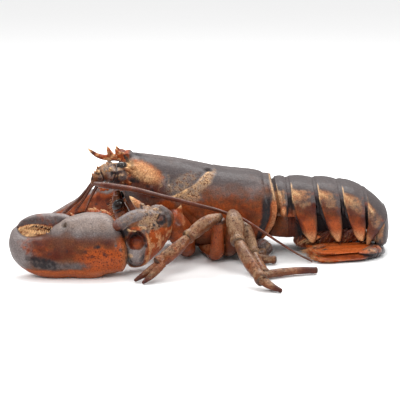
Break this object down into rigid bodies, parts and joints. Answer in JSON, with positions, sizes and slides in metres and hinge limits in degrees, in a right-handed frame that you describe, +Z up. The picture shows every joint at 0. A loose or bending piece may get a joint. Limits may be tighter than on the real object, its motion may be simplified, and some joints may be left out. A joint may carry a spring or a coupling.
{
  "type": "lobster",
  "caption": "Whole raw lobster lying on its claws and curled tail, with spread walking legs, swept-back feeler, crusher and cutter claws and a folded tail fan",
  "frame": {"origin": "on the ground, in the middle of the bounding box", "axes": "+X towards the tail, so the head and claws point to -X; +Y to the lobster's right; +Z up"},
  "size_m": [0.2244, 0.1962, 0.0644],
  "materials": {
    "shell_back": "wet, smooth hard shell, charcoal brown on the back, speckled olive beige below the neck furrow and red brown on the flanks",
    "shell_claw": "wet, smooth hard shell, grey blue on top, orange red with dark mottling below",
    "shell_leg": "wet, smooth hard shell, speckled olive beige on top and orange brown at the sides",
    "shell_fan": "wet, thin hard shell, bright orange red with cream edges",
    "whip": "fine ringed shell, dark red brown",
    "underside": "wet, soft shell, brown red with pale edges",
    "eye": "polished black"
  },
  "bodies": {
    "root": {"breast": "underside", "carapace": "shell_back", "claw_left_arm": "shell_claw", "claw_left_finger": "shell_claw", "claw_left_palm": "shell_claw", "claw_left_wrist": "shell_claw", "claw_right_arm": "shell_claw", "claw_right_finger": "shell_claw", "claw_right_palm": "shell_claw", "claw_right_wrist": "shell_claw", "eye_left": "eye", "eye_right": "eye", "fan_lower_left": "shell_fan", "fan_lower_right": "shell_fan", "fan_upper_left": "shell_fan", "fan_upper_right": "shell_fan", "feeler_base_left": "shell_back", "feeler_base_right": "shell_back", "feeler_left": "whip", "feeler_right": "whip", "jaw_leg_left": "underside", "jaw_leg_right": "underside", "leg_left_2_hand": "shell_leg", "leg_left_2_merus": "shell_leg", "leg_left_2_wrist": "shell_leg", "leg_left_3_hand": "shell_leg", "leg_left_3_merus": "shell_leg", "leg_left_3_wrist": "shell_leg", "leg_left_4_hand": "shell_leg", "leg_left_4_merus": "shell_leg", "leg_left_4_wrist": "shell_leg", "leg_left_5_hand": "shell_leg", "leg_left_5_merus": "shell_leg", "leg_left_5_wrist": "shell_leg", "leg_right_2_hand": "shell_leg", "leg_right_2_merus": "shell_leg", "leg_right_2_wrist": "shell_leg", "leg_right_3_hand": "shell_leg", "leg_right_3_merus": "shell_leg", "leg_right_3_wrist": "shell_leg", "leg_right_4_hand": "shell_leg", "leg_right_4_merus": "shell_leg", "leg_right_4_wrist": "shell_leg", "leg_right_5_hand": "shell_leg", "leg_right_5_merus": "shell_leg", "leg_right_5_wrist": "shell_leg", "short_feelers": "whip", "swimmeret_left_2": "underside", "swimmeret_left_3": "underside", "swimmeret_left_4": "underside", "swimmeret_right_2": "underside", "swimmeret_right_3": "underside", "swimmeret_right_4": "underside", "tail_ring_1": "shell_back", "tail_ring_2": "shell_back", "tail_ring_3": "shell_back", "tail_ring_4": "shell_back", "tail_ring_5": "shell_back", "tail_ring_6": "shell_back", "telson": "shell_fan"}
  },
  "joints": []
}
